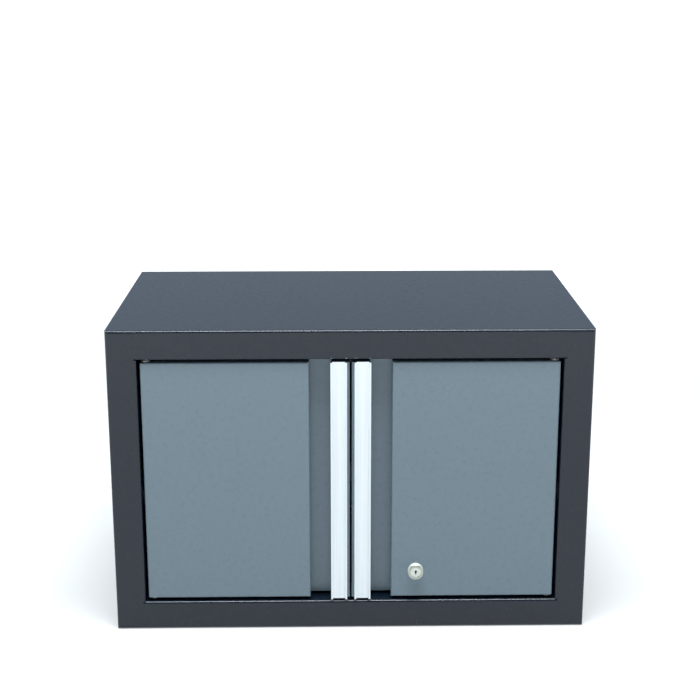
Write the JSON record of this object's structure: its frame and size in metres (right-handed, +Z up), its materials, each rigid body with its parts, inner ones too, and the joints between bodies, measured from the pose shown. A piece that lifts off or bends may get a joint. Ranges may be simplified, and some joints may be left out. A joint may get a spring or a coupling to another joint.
{
  "type": "hanging wall cabinet",
  "caption": "Wide, low steel wall cabinet with a plain front frame, inset double doors with full-height aluminium pulls beside finger pockets, a cam lock and an inner shelf.",
  "frame": {"origin": "centre of the four wall-screw holes, on the back face that meets the wall", "axes": "+X to the right as seen from the front, +Y from the front to the wall, +Z up"},
  "size_m": [0.61, 0.31, 0.406],
  "materials": {
    "casing_paint": "anthracite powder coat, fine texture, satin",
    "door_paint": "blue-grey powder coat, smooth satin",
    "pull_aluminium": "natural anodised, drawn along its length",
    "lock_nickel": "polished nickel plate",
    "zinc_steel": "bright zinc plate",
    "nylon": "natural nylon",
    "catch_moulding": "moulded black plastic",
    "bumper_rubber": "soft matt rubber"
  },
  "bodies": {
    "casing": {"back_panel": "casing_paint", "bottom_panel": "casing_paint", "catch_screws": "zinc_steel", "door_bumpers": "bumper_rubber", "left_catch_housing": "catch_moulding", "left_catch_magnet": "zinc_steel", "left_front_upright": "zinc_steel", "left_lower_hinge_pin": "zinc_steel", "left_rear_upright": "zinc_steel", "left_side_panel": "casing_paint", "left_upper_hinge_pin": "zinc_steel", "lower_wall_rail": "zinc_steel", "right_catch_housing": "catch_moulding", "right_catch_magnet": "zinc_steel", "right_front_upright": "zinc_steel", "right_lower_hinge_pin": "zinc_steel", "right_rear_upright": "zinc_steel", "right_side_panel": "casing_paint", "right_upper_hinge_pin": "zinc_steel", "shelf_clips": "zinc_steel", "top_panel": "casing_paint", "upper_wall_rail": "zinc_steel"},
    "left_door": {"left_door_liner": "door_paint", "left_door_skin": "door_paint", "left_lower_bush": "nylon", "left_lower_hinge_plate": "zinc_steel", "left_pull_strip": "pull_aluminium", "left_strike_plate": "zinc_steel", "left_strike_rivets": "zinc_steel", "left_strip_screws": "zinc_steel", "left_upper_bush": "nylon", "left_upper_hinge_plate": "zinc_steel"},
    "lock_core": {"lock_cam": "zinc_steel", "lock_cam_screw": "zinc_steel", "lock_plug": "lock_nickel"},
    "right_door": {"lock_housing": "lock_nickel", "lock_nut": "lock_nickel", "right_door_liner": "door_paint", "right_door_skin": "door_paint", "right_lower_bush": "nylon", "right_lower_hinge_plate": "zinc_steel", "right_pull_strip": "pull_aluminium", "right_strike_plate": "zinc_steel", "right_strike_rivets": "zinc_steel", "right_strip_screws": "zinc_steel", "right_upper_bush": "nylon", "right_upper_hinge_plate": "zinc_steel"},
    "shelf_board": {"shelf": "casing_paint"}
  },
  "joints": [
    {"name": "left_door_hinge", "type": "hinge", "parent": "casing", "child": "left_door", "pos_m": [-0.2564, -0.294, 0], "axis": [0, 0, -1], "range_deg": [0, 100]},
    {"name": "right_door_hinge", "type": "hinge", "parent": "casing", "child": "right_door", "pos_m": [0.2564, -0.294, 0], "axis": [0, 0, 1], "range_deg": [0, 100]},
    {"name": "lock_turn", "type": "hinge", "parent": "right_door", "child": "lock_core", "pos_m": [0.0841, -0.29, -0.1231], "axis": [0, 1, 0], "range_deg": [0, 90]},
    {"name": "shelf_lift", "type": "slide", "parent": "casing", "child": "shelf_board", "axis": [0, 0, 1], "range_m": [0, 0.1]}
  ]
}
